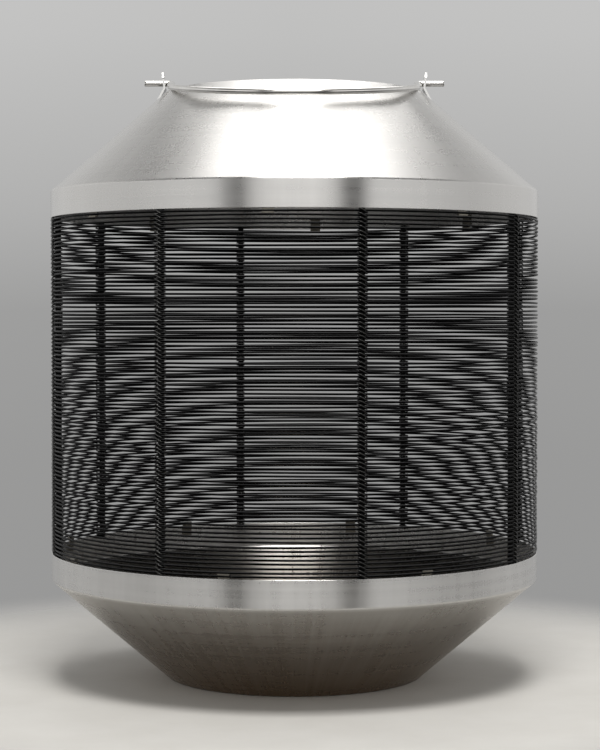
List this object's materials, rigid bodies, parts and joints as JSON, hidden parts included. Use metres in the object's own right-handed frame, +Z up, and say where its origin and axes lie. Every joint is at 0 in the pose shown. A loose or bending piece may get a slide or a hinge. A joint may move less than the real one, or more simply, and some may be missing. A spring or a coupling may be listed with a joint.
{
  "type": "wire lantern",
  "caption": "Open-topped floor lantern: two brushed steel cone shells joined by a see-through cage of black wire rings lashed to upright ribs, with a folding rod bail at the mouth.",
  "frame": {"origin": "middle of the base, on the surface it stands on", "axes": "+Z up along the lantern's axis; the handle hinges about a line parallel to X and is folded towards -Y"},
  "size_m": [0.4, 0.4, 0.4973],
  "materials": {
    "brushed_sheet": "circumferential satin brushing on stainless sheet",
    "bail_rod": "polished stainless rod",
    "lug_strip": "satin stainless strip",
    "clip_strip": "plain stainless strip",
    "black_wire": "semi-gloss black lacquer on steel wire",
    "black_bar": "semi-gloss black lacquer on steel bar",
    "binding_wire": "semi-gloss black binding wire"
  },
  "bodies": {
    "lantern": {"upper_shell": "brushed_sheet", "lower_shell": "brushed_sheet", "handle_lug_left": "lug_strip", "handle_lug_right": "lug_strip", "upper_clips": "clip_strip", "lower_clips": "clip_strip", "wire_rings_bottom": "black_wire", "wire_rings_lower": "black_wire", "wire_rings_middle": "black_wire", "wire_rings_upper": "black_wire", "wire_rings_top": "black_wire", "rib_1": "black_bar", "rib_2": "black_bar", "rib_3": "black_bar", "rib_4": "black_bar", "rib_5": "black_bar", "rib_6": "black_bar", "rib_7": "black_bar", "rib_8": "black_bar", "lashing_1": "binding_wire", "lashing_2": "binding_wire", "lashing_3": "binding_wire", "lashing_4": "binding_wire", "lashing_5": "binding_wire", "lashing_6": "binding_wire", "lashing_7": "binding_wire", "lashing_8": "binding_wire"},
    "handle": {"handle": "bail_rod"}
  },
  "joints": [
    {"name": "handle_hinge", "type": "hinge", "parent": "lantern", "child": "handle", "pos_m": [0, 0, 0.4879], "axis": [-1, 0, 0], "range_deg": [0, 198]}
  ]
}
